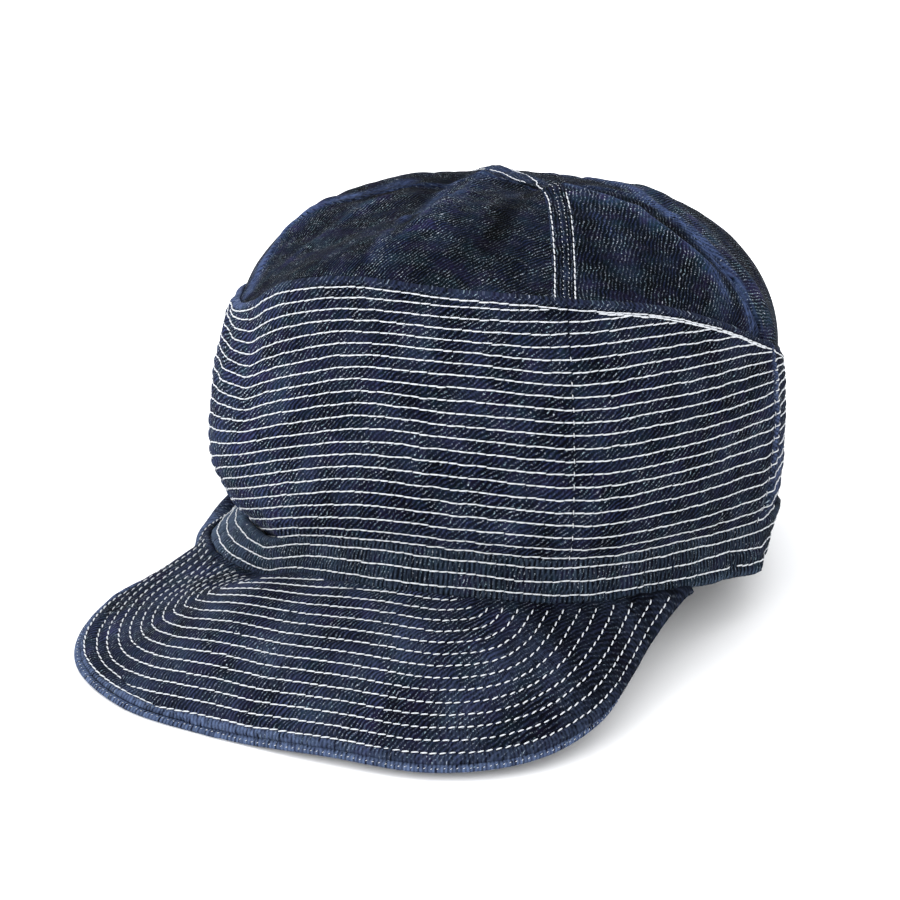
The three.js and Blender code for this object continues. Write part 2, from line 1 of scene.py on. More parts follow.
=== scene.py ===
# Denim cap: stitched side band and visor, plain crown, on a pale floor.
# Lengths are in millimetres until buildMesh, which turns them into metres.
import bpy
import math
import numpy as np
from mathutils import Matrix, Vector


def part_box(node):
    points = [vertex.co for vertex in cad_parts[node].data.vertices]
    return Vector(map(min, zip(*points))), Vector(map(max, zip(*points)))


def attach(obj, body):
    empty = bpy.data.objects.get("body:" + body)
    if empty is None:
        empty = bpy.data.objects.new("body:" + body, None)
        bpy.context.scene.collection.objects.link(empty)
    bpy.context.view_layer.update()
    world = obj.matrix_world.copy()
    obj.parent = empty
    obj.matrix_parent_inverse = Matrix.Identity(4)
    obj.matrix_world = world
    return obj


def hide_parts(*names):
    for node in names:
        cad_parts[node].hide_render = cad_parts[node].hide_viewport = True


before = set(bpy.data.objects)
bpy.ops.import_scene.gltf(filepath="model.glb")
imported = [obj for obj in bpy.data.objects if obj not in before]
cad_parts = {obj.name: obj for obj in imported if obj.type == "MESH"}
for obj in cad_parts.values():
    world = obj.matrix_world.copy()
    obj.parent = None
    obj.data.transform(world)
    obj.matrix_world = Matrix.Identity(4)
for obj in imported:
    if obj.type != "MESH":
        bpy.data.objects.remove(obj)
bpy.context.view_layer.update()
scene = bpy.context.scene
print("frame loaded")


# small helpers

def table(names, rows):   # a table with named columns
    return dict(zip(names.split(), np.array(rows, float).T))


def smoothCurve(keys, values, at):   # slope at a row follows its two neighbours
    i = np.clip(np.searchsorted(keys, at, side="right") - 1, 1, len(keys) - 3)
    span = keys[i + 1] - keys[i]
    s = (at - keys[i]) / span
    before = (values[i + 1] - values[i - 1]) / (keys[i + 1] - keys[i - 1]) * span
    after = (values[i + 2] - values[i]) / (keys[i + 2] - keys[i]) * span
    return ((2 * s**3 - 3 * s**2 + 1) * values[i] + (s**3 - 2 * s**2 + s) * before
            + (3 * s**2 - 2 * s**3) * values[i + 1] + (s**3 - s**2) * after)


def around(rows, column, angle):   # a table that goes all the way around the cap
    keys, values = rows["angle"], rows[column]
    longKeys = np.concatenate([[keys[-1] - 360], keys, keys[:2] + 360])
    longValues = np.concatenate([[values[-1]], values, values[:2]])
    return smoothCurve(longKeys, longValues, (np.asarray(angle) - keys[0]) % 360 + keys[0])


def through(rows, column, at):   # a table with two ends; its first column says where each row lies
    beyond = lambda v: np.concatenate([[2 * v[0] - v[1]], v, [2 * v[-1] - v[-2]]])
    keys = next(iter(rows.values()))
    return smoothCurve(beyond(keys), beyond(rows[column]), np.clip(at, keys[0], keys[-1]))


def stack(*parts):
    return np.stack(np.broadcast_arrays(*parts), -1)


def unit(v):
    return v / np.maximum(np.linalg.norm(v, axis=-1, keepdims=True), 1e-9)


def bell(x):
    return np.exp(-x * x)


def ramp(x, start, end):   # eased from 0 at the start to 1 at the end, which may be the lower one
    x = np.clip((x - start) / (end - start), 0, 1)
    return x * x * (3 - 2 * x)


def wrapped(angle):   # the same direction between -180 and 180
    return (angle + 180) % 360 - 180


def runAlong(line):   # distance from the start of a line to each of its points
    return np.concatenate([[0], np.cumsum(np.linalg.norm(np.diff(line, axis=0), axis=1))])


def sample(line, run, at):   # places on a line, or values kept along it
    return np.stack([np.interp(at, run, line[:, k]) for k in range(3)], -1)


def ripple(u, v, size, seed):   # repeatable unevenness between about -1 and 1
    rng = np.random.default_rng(seed)
    total = 0
    for _ in range(7):
        turn, wave, phase = rng.uniform(0, math.tau), size * rng.uniform(0.6, 1.7), rng.uniform(0, math.tau)
        total = total + np.sin((u * math.cos(turn) + v * math.sin(turn)) * math.tau / wave + phase)
    return total / 3.2


def gridNormals(p):
    return unit(np.cross(np.gradient(p, axis=0), np.gradient(p, axis=1)))


def lineHeights(lines, x, y):   # sum of soft lines seen from above
    total = 0
    for startX, startY, endX, endY, halfWidth, height in zip(*lines.values()):
        rx, ry = endX - startX, endY - startY
        along = np.clip(((x - startX) * rx + (y - startY) * ry) / (rx * rx + ry * ry), 0, 1)
        away = np.hypot(x - startX - rx * along, y - startY - ry * along)
        total = total + height * bell(away / halfWidth)
    return total


# how the cap stands on the floor, and the oval of its bottom edge
cap = {"halfWidth": 94.0, "halfDepth": 98.0, "pitch": -6.0, "roll": -5.5, "stand": 13.1,
       "perDegree": 1.65, "perDegreeOutside": 1.68}   # mm along the band, and along the face of its cloth


def stand(p):   # from the upright cap to the way it stands
    a, b = math.radians(cap["pitch"]), math.radians(cap["roll"])
    x, y, z = p[..., 0], p[..., 1], p[..., 2]
    y, z = y * math.cos(a) - z * math.sin(a), y * math.sin(a) + z * math.cos(a)
    return stack(x * math.cos(b) + z * math.sin(b), y, -x * math.sin(b) + z * math.cos(b) + cap["stand"])


def ovalNormal(angle):
    a = np.radians(angle)
    return unit(stack(cap["halfDepth"] * np.sin(a), -cap["halfWidth"] * np.cos(a)))


def bandRipple(angle, height, size, seed):   # ripple on cloth wound round the head
    return ripple(angle * cap["perDegree"], height, size, seed)


# meshes

def buildMesh(name, points, faces, uvs, material, values=None):
    mesh = bpy.data.meshes.new(name)
    placed = (points.reshape(-1, 3) + shift) / 1000
    placed[:, 2] = np.maximum(placed[:, 2], 0.0)   # cloth lies on the floor, not in it
    corners = np.concatenate([f.ravel() for f in faces]).astype(np.int32)
    sizes = np.concatenate([np.full(len(f), f.shape[1]) for f in faces])
    starts = (np.cumsum(sizes) - sizes).astype(np.int32)
    for part, label, filled in ((mesh.vertices, "co", placed.astype(np.float32)),
                                (mesh.loops, "vertex_index", corners),
                                (mesh.polygons, "loop_start", starts)):
        part.add(len(filled))
        part.foreach_set(label, filled.ravel())
    mesh.polygons.foreach_set("use_smooth", np.ones(len(sizes), bool))
    mesh.update(calc_edges=True)
    flat = np.concatenate([u.reshape(-1, 2) for u in uvs]) * 0.01   # one cloth unit is 100 mm
    mesh.uv_layers.new(name="cloth").data.foreach_set("uv", flat.astype(np.float32).ravel())
    for label, grid in (values or {}).items():
        layer = mesh.attributes.new(label, "FLOAT", "POINT")
        layer.data.foreach_set("value", grid.astype(np.float32).ravel())
    mesh.validate()
    mesh.materials.append(material)
    piece = bpy.data.objects.new(name, mesh)
    scene.collection.objects.link(piece)
    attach(piece, "root")
    return piece


def clothShell(name, outer, inner, uv, values, material, closed=False, coarse=3, roundness=0.4):
    # outer rows, a rounded rim, coarser inner rows and the other rim make one closed loop of cloth
    def rim(a, b, before):
        return (a + b) / 2 + unit(a - before) * np.linalg.norm(a - b, axis=-1, keepdims=True) * roundness

    kept = np.unique(np.append(np.arange(0, outer.shape[1], coarse), outer.shape[1] - 1))[::-1]
    wrap = lambda g: np.concatenate([g, g[:, -1:], g[:, kept], g[:, :1]], 1)
    loop = np.concatenate([outer, rim(outer[:, -1], inner[:, -1], outer[:, -2])[:, None], inner[:, kept],
                           rim(outer[:, 0], inner[:, 0], outer[:, 1])[:, None]], 1)
    columns, length = loop.shape[:2]
    spans = columns if closed else columns - 1
    i, j = np.meshgrid(np.arange(spans), np.arange(length), indexing="ij")
    at = lambda a, b: (a % columns) * length + b % length
    faces = [np.stack([at(i, j), at(i + 1, j), at(i + 1, j + 1), at(i, j + 1)], -1).reshape(-1, 4)]
    loopUv = wrap(uv)
    if closed:   # the last column runs on to the first without a jump in the weave
        turn = loopUv[:1] + (loopUv[-1:] - loopUv[:1]) * columns / (columns - 1)
        loopUv = np.concatenate([loopUv, turn])
    loopUv = np.concatenate([loopUv, loopUv[:, :1]], 1)
    uvs = [np.stack([loopUv[i, j], loopUv[i + 1, j], loopUv[i + 1, j + 1], loopUv[i, j + 1]], -2)]
    if not closed:   # the two cut ends are zipped between the outer and inner rows
        front, back = np.arange(outer.shape[1]), np.arange(length - 2, outer.shape[1], -1)
        for column in (0, columns - 1):
            triangles, a, b = [], 0, 0
            while a < len(front) - 1 or b < len(back) - 1:
                frontLags = (a + 1) / len(front) <= (b + 1) / len(back)
                if b == len(back) - 1 or (a < len(front) - 1 and frontLags):
                    triangles.append((front[a], front[a + 1], back[b]))
                    a += 1
                else:
                    triangles.append((front[a], back[b + 1], back[b]))
                    b += 1
            triangles += [(front[-1], front[-1] + 1, back[-1]), (front[0], back[0], length - 1)]
            cut = np.array(triangles)[:, ::1 if column == 0 else -1]
            faces.append(at(column, cut))
            uvs.append(loopUv[column][cut])
    return buildMesh(name, loop, faces, uvs, material, {k: wrap(g) for k, g in values.items()})


thread = {   # mm
    "radius": 0.275, "pitch": 3.12, "turn": 0.14, "arch": 0.14, "lift": 0.2, "pairGap": 0.06,
    "fill": 1.0,      # share of the pitch that shows as thread
    "drift": 0.07, "unevenTurn": 0.08, "flatness": 0.85, "strand": 0.3, "rings": 5, "sides": 5,
}


def stitchRow(path, normal, seed, pitch=thread["pitch"], fill=thread["fill"], radius=thread["radius"],
              turn=thread["turn"]):
    # one row of separate stitches along a path; fill may change along the row
    rng = np.random.default_rng(seed)
    run = runAlong(path)
    count = int(run[-1] / pitch)
    if count < 1:
        return None
    step = run[-1] / count
    r = np.linspace(0, 1, thread["rings"])
    start = (np.arange(count) + 0.04) * step + rng.normal(0, thread["drift"], count)
    share = np.interp(start, run, np.broadcast_to(fill, run.shape))
    length = step * share * rng.uniform(0.94, 1.03, count) - thread["pairGap"] * (np.arange(count) % 2)
    along = start[:, None] + length[:, None] * r
    centre, up = sample(path, run, along), unit(sample(normal, run, along))
    ahead = unit(centre[:, -1:] - centre[:, :1])
    side = unit(np.cross(up, ahead + 0 * up))
    sway = (turn + rng.normal(0, thread["unevenTurn"], count))[:, None] * (r - 0.5)
    sway = sway + rng.normal(0, thread["drift"], count)[:, None]
    rise = thread["lift"] + thread["arch"] * np.sin(math.pi * r)
    centre = centre + side * sway[..., None] + up * rise[:, None]
    thick = radius * rng.uniform(0.9, 1.08, count)[:, None]
    thick = thick * (0.6 + 0.4 * np.sin(math.pi * (0.06 + 0.88 * r)))   # it dips into the cloth
    phi = np.arange(thread["sides"]) / thread["sides"] * math.tau
    ring = side[:, :, None] * np.cos(phi)[:, None]
    ring = ring + up[:, :, None] * np.sin(phi)[:, None] * thread["flatness"]
    return centre[:, :, None] + ring * thick[..., None, None], along


def joinStitches(name, rows):
    points, along = (np.concatenate(parts) for parts in zip(*(row for row in rows if row)))
    count, rings, sides = points.shape[:3]
    k, r, s = np.meshgrid(np.arange(count), np.arange(rings - 1), np.arange(sides), indexing="ij")
    at = lambda a, b, c: (a * rings + b) * sides + c % sides
    quads = np.stack([at(k, r, s), at(k, r, s + 1), at(k, r + 1, s + 1), at(k, r + 1, s)], -1)
    each, whole = np.arange(count)[:, None], np.arange(sides)
    ends = np.concatenate([at(each, 0, whole[::-1]), at(each, rings - 1, whole)])
    corner = lambda c, b: stack(c / sides, along[k, b])
    uvs = [np.stack([corner(s, r), corner(s + 1, r), corner(s + 1, r + 1), corner(s, r + 1)], -2),
           np.zeros((len(ends), sides, 2))]
    return buildMesh(name, points, [quads.reshape(-1, 4), ends], uvs, stitchThread)


# materials

def linear(hexColour):   # sRGB hex to linear
    parts = [int(hexColour[k:k + 2], 16) / 255 for k in (1, 3, 5)]
    return [c / 12.92 if c <= 0.04045 else ((c + 0.055) / 1.055)**2.4 for c in parts] + [1.0]


def setInputs(tree, node, inputs):   # values and links
    for socket, value in inputs.items():
        if isinstance(value, bpy.types.NodeSocket):
            tree.links.new(value, node.inputs[socket])
        else:
            node.inputs[socket].default_value = value


def add(tree, kind, inputs=None, **settings):   # one node with its settings, values and links
    made = tree.nodes.new("ShaderNode" + kind)
    for name, value in settings.items():
        setattr(made, name, value)
    setInputs(tree, made, inputs or {})
    return made


def startMaterial(name):
    made = bpy.data.materials.new(name)
    made.use_nodes = True
    return made, made.node_tree, made.node_tree.nodes["Principled BSDF"]


denimLook = {
    "dotPitch": 1.0,      # mm between the white weft dots along a twill line
    "slub": (0.7, 6.0),   # mm, width and length of uneven yarns
    "rib": 1.35,          # mm between the ribs where an edge is worn
    "relief": 0.22,       # mm
    "paintedShadeGain": 2.3,          # how much lighter cloth gets where its shade is 1
    # clouds of purple and teal: size and grain in mm, strength, colour
    "tints": ((9.0, 1.5, 0.45, "#1c1730"), (10.0, 1.3, 0.35, "#142630")),
    "weft": ("#b9c0cc", "#8fa9b4"),
}


def denim(name, dark, light, worn, twillAngle, twillPitch, fleck=0.6, ribbed=0.0, seed=0.0):
    # washed indigo twill: near-black ground, lines of small white weft dots, cloudy purple and teal
    # tints, pale ribbed cloth where edges and folds have rubbed; dull all over
    # the twill is drawn about twice as coarse as it is, so that its lines show
    # sizes are in mm; a cloth unit is 100 mm
    made, tree, bsdf = startMaterial(name)
    look = denimLook
    mapped = lambda value, low, high, toLow, toHigh: add(
        tree, "MapRange", {0: value, 1: low, 2: high, 3: toLow, 4: toHigh}).outputs[0]
    maths = lambda operation, a, b=0.0, clamp=False: add(
        tree, "Math", {0: a, 1: b}, operation=operation, use_clamp=clamp).outputs[0]
    times = lambda a, b: maths("MULTIPLY", a, b)
    mix = lambda factor, a, b: add(tree, "Mix", {0: factor, 6: a, 7: b}, data_type="RGBA").outputs[2]
    uv = add(tree, "UVMap", uv_map="cloth").outputs["UV"]
    place = add(tree, "VectorMath", {0: uv, 1: (seed, seed * 0.37, 0)}, operation="ADD").outputs[0]
    noise = lambda size, detail=2.0, rough=0.5: add(tree, "TexNoise", {
        "Vector": place, "Scale": 100 / size, "Detail": detail, "Roughness": rough}).outputs["Fac"]
    wave = lambda value, pitch, wander: maths(
        "COSINE", maths("ADD", times(value, math.tau * 100 / pitch), times(wander, math.tau)))

    turned = add(tree, "Mapping", {
        "Vector": place, "Rotation": (0, 0, -math.radians(twillAngle))}).outputs[0]
    split = add(tree, "SeparateXYZ", {0: turned}).outputs
    line = wave(split["Y"], twillPitch, times(noise(4.0), 1.7))
    dot = wave(split["X"], look["dotPitch"], times(noise(1.3), 5.0))
    slubWide, slubLong = look["slub"]
    stretched = add(tree, "Mapping", {
        "Vector": place, "Scale": (100 / slubWide, 100 / slubLong, 1)}).outputs[0]
    slub = add(tree, "TexNoise", {"Vector": stretched, "Scale": 1.0, "Detail": 2.0}).outputs["Fac"]
    wear, run, shade = (add(tree, "Attribute", attribute_name=name).outputs["Fac"]
                        for name in ("wear", "run", "shade"))

    yarn = times(mapped(line, -0.6, 0.8, 0.0, 1.15), mapped(slub, 0.32, 0.68, 0.15, 1.15))
    patches = noise(8.0, 3.0)
    ground = mix(yarn, linear(dark), linear(light))
    ground = mix(mapped(patches, 0.38, 0.6, 0.0, 0.8), ground, linear(dark))
    for size, grain, strength, tint in look["tints"]:
        cloud = mapped(noise(size), 0.5, 0.66, 0.0, strength)
        cloud = times(cloud, mapped(noise(grain), 0.4, 0.6, 0.3, 1.0))
        ground = mix(cloud, ground, linear(tint))
    # the shade attribute scales the ground colour: painted light and shade, partly real fading on the
    # crown's fold crests
    paintedShading = maths("POWER", look["paintedShadeGain"], shade)
    ground = add(tree, "VectorMath", {0: ground, "Scale": paintedShading}, operation="SCALE").outputs[0]
    dots = times(mapped(line, 0.35, 0.95, 0.0, 1.0), mapped(dot, -0.1, 0.7, 0.0, 1.0))
    dots = times(dots, times(mapped(noise(0.9), 0.46, 0.66, 0.05, fleck),
                             mapped(patches, 0.4, 0.6, 0.2, 1.4)))
    dots = times(dots, maths("ADD", times(shade, 0.6), 1.0))   # the weft dots follow the painted shade too: fewer where shade is low
    weft = mix(mapped(noise(3.0), 0.4, 0.6, 0.0, 1.0), *(linear(tint) for tint in look["weft"]))
    colour = mix(dots, ground, weft)

    ribs = times(maths("SINE", times(run, math.tau / look["rib"])), maths("ADD", wear, ribbed))
    rubbed = times(wear, mapped(noise(2.0, 3.0, 0.65), 0.34, 0.64, 0.2, 1.35))
    rubbed = maths("ADD", rubbed, times(ribs, 0.42), clamp=True)

    height = maths("ADD", times(line, 0.35), times(noise(0.7, 1.0), 0.8))
    height = maths("ADD", height, times(ribs, 0.6))
    bump = add(tree, "Bump", {
        "Height": height, "Distance": look["relief"] / 1000, "Strength": 0.9}).outputs[0]
    setInputs(tree, bsdf, {"Base Color": mix(rubbed, colour, linear(worn)), "Normal": bump,
                           "Roughness": 0.92, "IOR": 1.47, "Specular IOR Level": 0.03})
    return made


def cottonThread(name, colour, shade):
    # three-ply cotton sewing thread: off-white, matt, with fine slanted strands
    made, tree, bsdf = startMaterial(name)
    uv = add(tree, "UVMap", uv_map="cloth").outputs["UV"]
    turned = add(tree, "Mapping", {
        "Vector": uv, "Rotation": (0, 0, math.radians(30)), "Scale": (100, 100, 1)}).outputs[0]
    # at scale 1 the bands of a wave texture are tau / 20 apart
    strands = add(tree, "TexWave", {"Vector": turned, "Scale": math.tau / 20 / thread["strand"]},
                  bands_direction="Y").outputs["Fac"]
    uneven = add(tree, "TexNoise", {"Vector": uv, "Scale": 24.0, "Detail": 2.0}).outputs["Fac"]
    # painted shade: darker grey in the grooves between the strands, patchy along the thread
    strandShade = add(tree, "Math", {0: strands, 1: uneven}, operation="MULTIPLY").outputs[0]
    tint = add(tree, "Mix", {0: strandShade, 6: linear(shade), 7: linear(colour)}, data_type="RGBA").outputs[2]
    bump = add(tree, "Bump", {"Height": strands, "Distance": 0.00006, "Strength": 0.6}).outputs[0]
    setInputs(tree, bsdf, {"Base Color": tint, "Normal": bump,
                           "Roughness": 0.75, "IOR": 1.53, "Specular IOR Level": 0.25})
    return made


crownDenim = denim("crownDenim", "#020407", "#0e1429", "#3f4d70", twillAngle=90, twillPitch=1.25)
bandDenim = denim("bandDenim", "#05070d", "#1e243e", "#4e5b7d", twillAngle=40, twillPitch=1.45, fleck=0.8,
                  seed=1.7)
bottomBandDenim = denim("bottomBandDenim", "#070a10", "#1f2737", "#4b5a6e", twillAngle=70, twillPitch=1.4,
                        ribbed=0.3, seed=3.1)
visorDenim = denim("visorDenim", "#070910", "#272d47", "#546382", twillAngle=70, twillPitch=1.25, seed=4.6)
stitchThread = cottonThread("cottonThread", "#e2e3e9", "#bec2c6")
print("materials made")


# side band

band = {
    "low": 14.1, "wall": 2.0, "puff": 0.6, "sink": 0.3, "rimRow": 3.0, "step": 0.62, "degrees": 0.64,
    "inset": 0.004,   # degrees left free at each end of a panel
    "rows": [14.6, 18.0] + [22.0 + 4.27 * k for k in range(21)],
    "panels": {   # node, first and last angle
        "bandPanelFront": ("band_panel_front", -40, 48), "bandPanelLeft": ("band_panel_left", 48, 101),
        "bandPanelBack": ("band_panel_back", 101, 230), "bandPanelRight": ("band_panel_right", 230, 320)},
    "seams": (-40, 48, 101, 230, 320),   # the first is also the last: it is drawn in twice as deep
    "upright": {"pitch": 1.5, "radius": 0.2},   # short stitches at the seams
    "foot": 14.0,   # mm, below this the cloth is the bottom band
    "profile": table("height out", [(0, 0), (14, -1), (20, 2), (40, 4.5), (62, 4.2), (85, 2), (110, 0)]),
    "tops": table("angle height", [
        (-180, 60), (-135, 62), (-100, 78), (-70, 88), (-45, 97), (-34, 104), (-20, 106), (0, 106),
        (22, 105), (45, 103), (65, 97), (85, 88), (100, 78), (120, 66), (145, 60)]),
    # dents and sags of the cloth at three heights
    "levels": (7.0, 55.0, 100.0),
    "sections": table("angle lowOut middleOut highOut lowLift middleLift highLift", [
        (-115, 0, 0, 0, 0, 0, 0), (-85, 0, 0, -3, -4, -3.5, -3), (-61, 0, 0, -6, -7.5, -9, -7.5),
        (-47, 1.5, 3, -5, -6.5, -12.5, -9.5), (-33, -1, 5, 1, -2.5, -4.5, -9.5),
        (-15, -4.5, -4, -1.5, 7, 6, 4), (5, -3, -6, -2.5, 12.5, 15, 12), (27, -2, -1, -2, 12.5, 16.5, 11.5),
        (50, -1, 1, -2, 8.5, 12, 9), (70, -3.5, -2.5, -3, 6, 10, 8), (90, -3.5, -2.5, -2, 1.8, 8, 1),
        (105, 1.5, 0, 0, -2.8, 5, -7.5), (120, 0.8, -2.5, 0, -5.1, -4.5, -6.5),
        (140, 0.5, -0.5, 0, -8.2, -3, -2), (175, 0, 0, 0, -4, -1, 0), (210, 0, 0, 0, 0, 0, 0)]),
    # flare of the bottom band, and how far the side band above it is drawn in
    "flare": table("angle edgeOut topOut lift drawnIn", [
        (-100, 0, 0, 0, 0), (-92, 5, 0, 0, 1), (-85, 9, 0, 0.5, 3.5), (-74, 12, -1, 2.5, 6.5),
        (-66, 12, -2, 4, 9), (-58, 11, -2.5, 6.5, 11), (-50, 9, -2.5, 7, 11), (-42, 7.5, -2.5, 5.5, 11),
        (-34, 4.5, -2, 3, 8.5), (-27, 1, -0.5, 0.2, 4.5), (-20, 0, 0, 0, 0), (95, 0, 0, 0, 0),
        (101, 0, 0, 0, 0), (106, -3.2, 1.2, 0, 0), (112, -4.4, 2, 0, 0), (125, -6.7, 3.2, 0, 0),
        (145, -3, 0, 0, 0), (160, 0, 0, 0, 0)]),
    "shares": table("height share", [
        (14, 1), (18, 0.95), (22, 0.85), (26, 0.66), (30.5, 0.52), (39, 0.29), (48, 0.08), (55, 0)]),
    # upright kinks, where the rows turn upward
    "rightKink": table("angle lift", [
        (-100, 0), (-80, 3), (-60, 7), (-47, 9), (-40, 8.5), (-35, 6.3), (-31, 3.2), (-28, 1), (-24, -1.3),
        (-20, -0.6), (-14, 0)]),
    "leftKink": table("angle lift", [
        (96, 0), (99, 0), (102, 1.5), (105, 3.5), (110, 6), (120, 7.5), (135, 5), (160, 0)]),
    # the lower edge turns up where the band bends round at the left
    "corner": table("angle lift", [(86, 0), (98, 1.6), (110, 2.2), (128, 0)]),
    # sharp upright folds from lying flat
    "folds": table("lowAngle highAngle halfWidth height", [(103, 101, 1.5, 1.2), (-50, -43, 4.0, 0.5)]),
}


def atHeight(angle, height, quantity):
    levels = band["levels"]
    total = 0
    for i, name in enumerate(("low", "middle", "high")):
        weight = 1.0
        for j in range(3):
            if j != i:
                weight = weight * (height - levels[j]) / (levels[i] - levels[j])
        total = total + weight * around(band["sections"], name + quantity, angle)
    return total


def bandPoint(angle, height, outward):
    angle, height = np.broadcast_arrays(np.asarray(angle, float), np.asarray(height, float))
    a, turned, foot = np.radians(angle), wrapped(angle), band["foot"]
    ruled = lambda name, column: through(band[name], column, turned)
    edgeOut, topOut, drawnIn = (ruled("flare", column) for column in ("edgeOut", "topOut", "drawnIn"))
    low = height <= foot
    out = np.where(low, edgeOut + (topOut - edgeOut) * height / foot,
                   -drawnIn * through(band["shares"], "share", height))
    kink = ruled("rightKink", "lift") * ramp(height, 44, 74) * (1 - 0.6 * ramp(height, 90, 106))
    leftKink = ruled("leftKink", "lift") * (0.17 + 0.83 * ramp(height, 12, 24)) * (1 - ramp(height, 52, 74))
    corner = ruled("corner", "lift") * (1 - height / foot)
    lift = np.where(low, ruled("flare", "lift") + corner, kink) + leftKink
    out = out + through(band["profile"], "out", height) + atHeight(angle, height, "Out") + outward
    n = ovalNormal(angle)
    return stack(cap["halfWidth"] * np.sin(a) + out * n[..., 0],
                 -cap["halfDepth"] * np.cos(a) + out * n[..., 1],
                 height + atHeight(angle, height, "Lift") + lift)


def bandTop(angle):
    return around(band["tops"], "height", angle)


def pillow(distance, half):   # rounded cloth between two rows of stitches
    x = np.clip(distance / half, 0, 1)
    return 1 - (1 - x)**2.2


def rowWaver(angle, height):   # rows are never quite straight
    return 0.3 * bandRipple(angle, height * 2.5, 60, 11)


def foldLine(angle, height):
    total = 0
    for lowAngle, highAngle, halfWidth, lift in zip(*band["folds"].values()):
        side = wrapped(angle - (lowAngle + (highAngle - lowAngle) * height / 90)) * cap["perDegreeOutside"]
        total = total + lift * bell(side / halfWidth)
    return total * ramp(height, 10, 25)


def creases(angle, height):
    return 0.22 * bandRipple(angle, height, 14, 3) + 0.22 * bandRipple(angle, height * 0.35, 8, 5)


def bandCloth(angle, height):   # how far the cloth stands out between its stitches
    rimRow = bandTop(angle) - band["rimRow"]
    level = height + rowWaver(angle, height)
    away = np.min(np.abs(level[..., None] - np.array(band["rows"])), -1)
    away = np.where(level > rimRow - 0.8, 9, away)   # no row is sewn above the rim's own
    away = np.minimum(away, np.abs(rimRow - height))
    out = band["puff"] * pillow(away, 2.1) - band["sink"]
    out = out + creases(angle, height) + 0.1 * bandRipple(angle, height, 5, 4)
    for seam in band["seams"]:
        side = wrapped(angle - seam) * cap["perDegree"]
        out = out - 0.25 * bell(side / 0.7) + 0.2 * bell((side + 2.6) / 2.0)
    return out + foldLine(angle, height)


# the CAD has the middle of the cap's box over the origin; the bottom band says how far it moved
ringAngle, ringHeight = np.meshgrid(np.arange(80) * 4.5, [0.0, 7.0, 14.0], indexing="ij")
ring = stand(bandPoint(ringAngle, ringHeight, 0.0))
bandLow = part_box("bottom_band")[0] * 1000
shift = np.array([bandLow.x - ring[..., 0].min(), bandLow.y - ring[..., 1].min(), 0.0])
print("cap moved by", shift.round(2))


def bandWear(angle, height):   # rubbed pale at the rim, the left corner and the right side
    top, angle = bandTop(angle), wrapped(angle)
    rim = (0.1 + 0.6 * ramp(angle, -22, -34) * ramp(angle, -100, -80)) * ramp(height - top, -2.4, -1.2)
    corner = 0.6 * bell((angle - 101.6) * cap["perDegreeOutside"] / 1.1) * ramp(height, 20, 40)
    foot = 0.5 * bell((angle - 106.5) / 4.5) * bell((height - 24) / 12)
    right = ramp(angle, -34, -46) * ramp(angle, -84, -72) * (0.7 + 0.3 * ripple(angle, height, 9, 6))
    general = 0.02 + 0.05 * bandRipple(angle, height, 22, 8)
    return np.clip(np.maximum.reduce([rim, corner, foot, 0.55 * right, general]), 0, 1)


def paintedSideLight(angle):   # painted light and shade: the wearer's right is painted lighter and the left darker
    turned = wrapped(angle)
    right = ramp(turned, 4, -36) * ramp(turned, -150, -90)
    return 1.4 * right - 0.35 * ramp(turned, 40, 80) * ramp(turned, 170, 120)


for name, (node, start, end) in band["panels"].items():
    columns = round((end - start) / band["degrees"]) + 1
    angle = np.linspace(start + band["inset"], end - band["inset"], columns)[:, None]
    tops = bandTop(angle)
    steps = int((tops.max() - band["low"]) / band["step"])
    share = np.linspace(0, 1, steps + 1)
    height = band["low"] + (tops - band["low"]) * share
    angle = angle + 0 * height
    outer = stand(bandPoint(angle, height, bandCloth(angle, height) - 0.5 * bell((tops - height) / 0.7)))
    inner = stand(bandPoint(angle, height, -band["wall"]))
    # painted light and shade: lighter at the wearer's right, darker at the left, with ripples of uneven
    # tone
    shade = paintedSideLight(angle) + 0.25 * bandRipple(angle, height, 30, 9)
    shade = shade + 0.25 * bandRipple(angle, height * 0.4, 9, 10)
    values = {"wear": bandWear(angle, height), "run": angle * cap["perDegree"] + height,
              "shade": np.clip(shade, -1, 1)}
    panel = clothShell(name, outer, inner, stack(np.radians(angle) * 97, height), values, bandDenim)
    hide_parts(node)


def bandPath(angle, height):   # a line on the band with its outward direction
    p = stand(bandPoint(angle, height, foldLine(angle, height) + creases(angle, height) - 0.1))
    place = lambda a, h: stand(bandPoint(a, h, 0.0))
    across = place(angle + 0.3, height) - place(angle - 0.3, height)
    upward = place(angle, height + 0.3) - place(angle, height - 0.2)
    return p, unit(np.cross(across, upward))


def bandStitches(name, panels):
    rows = []
    for panel in panels:
        node, start, end = band["panels"][panel]
        angle = np.arange(start + 0.15, end - 0.05, 0.2)
        rimRow = bandTop(angle) - band["rimRow"]
        for k, level in enumerate(band["rows"]):
            height = level - rowWaver(angle, level + 0 * angle)
            free = np.flatnonzero(height < rimRow - 1.0)
            for part in np.split(free, np.flatnonzero(np.diff(free) > 1) + 1):
                if len(part) > 8:
                    rows.append(stitchRow(*bandPath(angle[part], height[part]), seed=100 + k))
        rows.append(stitchRow(*bandPath(angle, rimRow), seed=190))
        twice = (angle > 54) & (angle < 99)   # sewn twice where the rows run into the top edge
        rows.append(stitchRow(*bandPath(angle[twice], rimRow[twice] - 0.7), seed=191, radius=0.34))
        for level in band["rows"]:   # each row ends in a short upright stitch at the seam
            if level < bandTop(end) - 5:
                height = level + np.linspace(-0.7, 0.9, 5)
                rows.append(stitchRow(*bandPath(end + 0 * height, height), seed=7, **band["upright"]))
    piece = joinStitches(name, rows)


bandStitches("bandStitchesFront", ["bandPanelFront", "bandPanelLeft"])
bandStitches("bandStitchesBack", ["bandPanelBack", "bandPanelRight"])
print("side band made")


# bottom band

bottomBand = {"height": 13.9, "wall": 2.6, "puff": 0.6, "sink": 0.3, "rows": [3.0, 7.1, 11.2],
              "gathers": 330, "columns": 560, "steps": 26}

